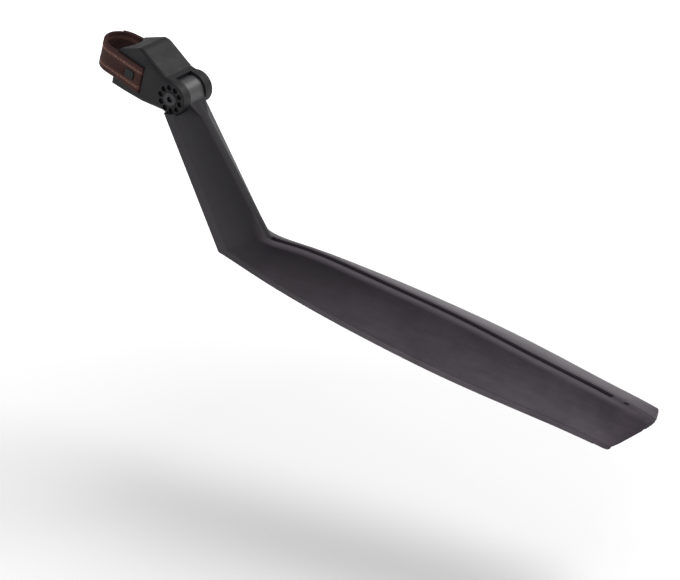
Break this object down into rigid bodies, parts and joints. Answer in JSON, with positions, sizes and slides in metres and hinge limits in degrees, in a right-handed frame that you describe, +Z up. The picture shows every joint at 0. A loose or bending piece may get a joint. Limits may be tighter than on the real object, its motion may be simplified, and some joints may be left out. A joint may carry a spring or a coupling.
{
  "type": "bicycle mudguard",
  "caption": "Clip-on rear bicycle mudguard: a long roof-section blade folds from a neck that tilts in a seatpost bracket held by a webbing strap.",
  "frame": {"origin": "on the seatpost's axis at the middle of the strap's height", "axes": "+X to the rear of the bicycle, +Y to its right, +Z up on a level bicycle; the seatpost's axis leans back 15.2 degrees in the XZ plane"},
  "size_m": [0.5509, 0.0992, 0.2272],
  "materials": {
    "blade": "satin black moulded polypropylene",
    "bracket": "matt black moulded nylon",
    "strap": "woven webbing with two stitched lines",
    "fastener": "plain zinc-plated steel"
  },
  "bodies": {
    "clamp": {"bracket": "bracket", "strap": "strap", "pivot_bolt": "fastener", "pivot_nut": "fastener"},
    "guard": {"blade": "blade"}
  },
  "joints": [
    {"name": "tilt", "type": "hinge", "parent": "clamp", "child": "guard", "pos_m": [0.06747, 0, -0.01978], "axis": [0, 1, 0], "range_deg": [-40, 15]}
  ]
}
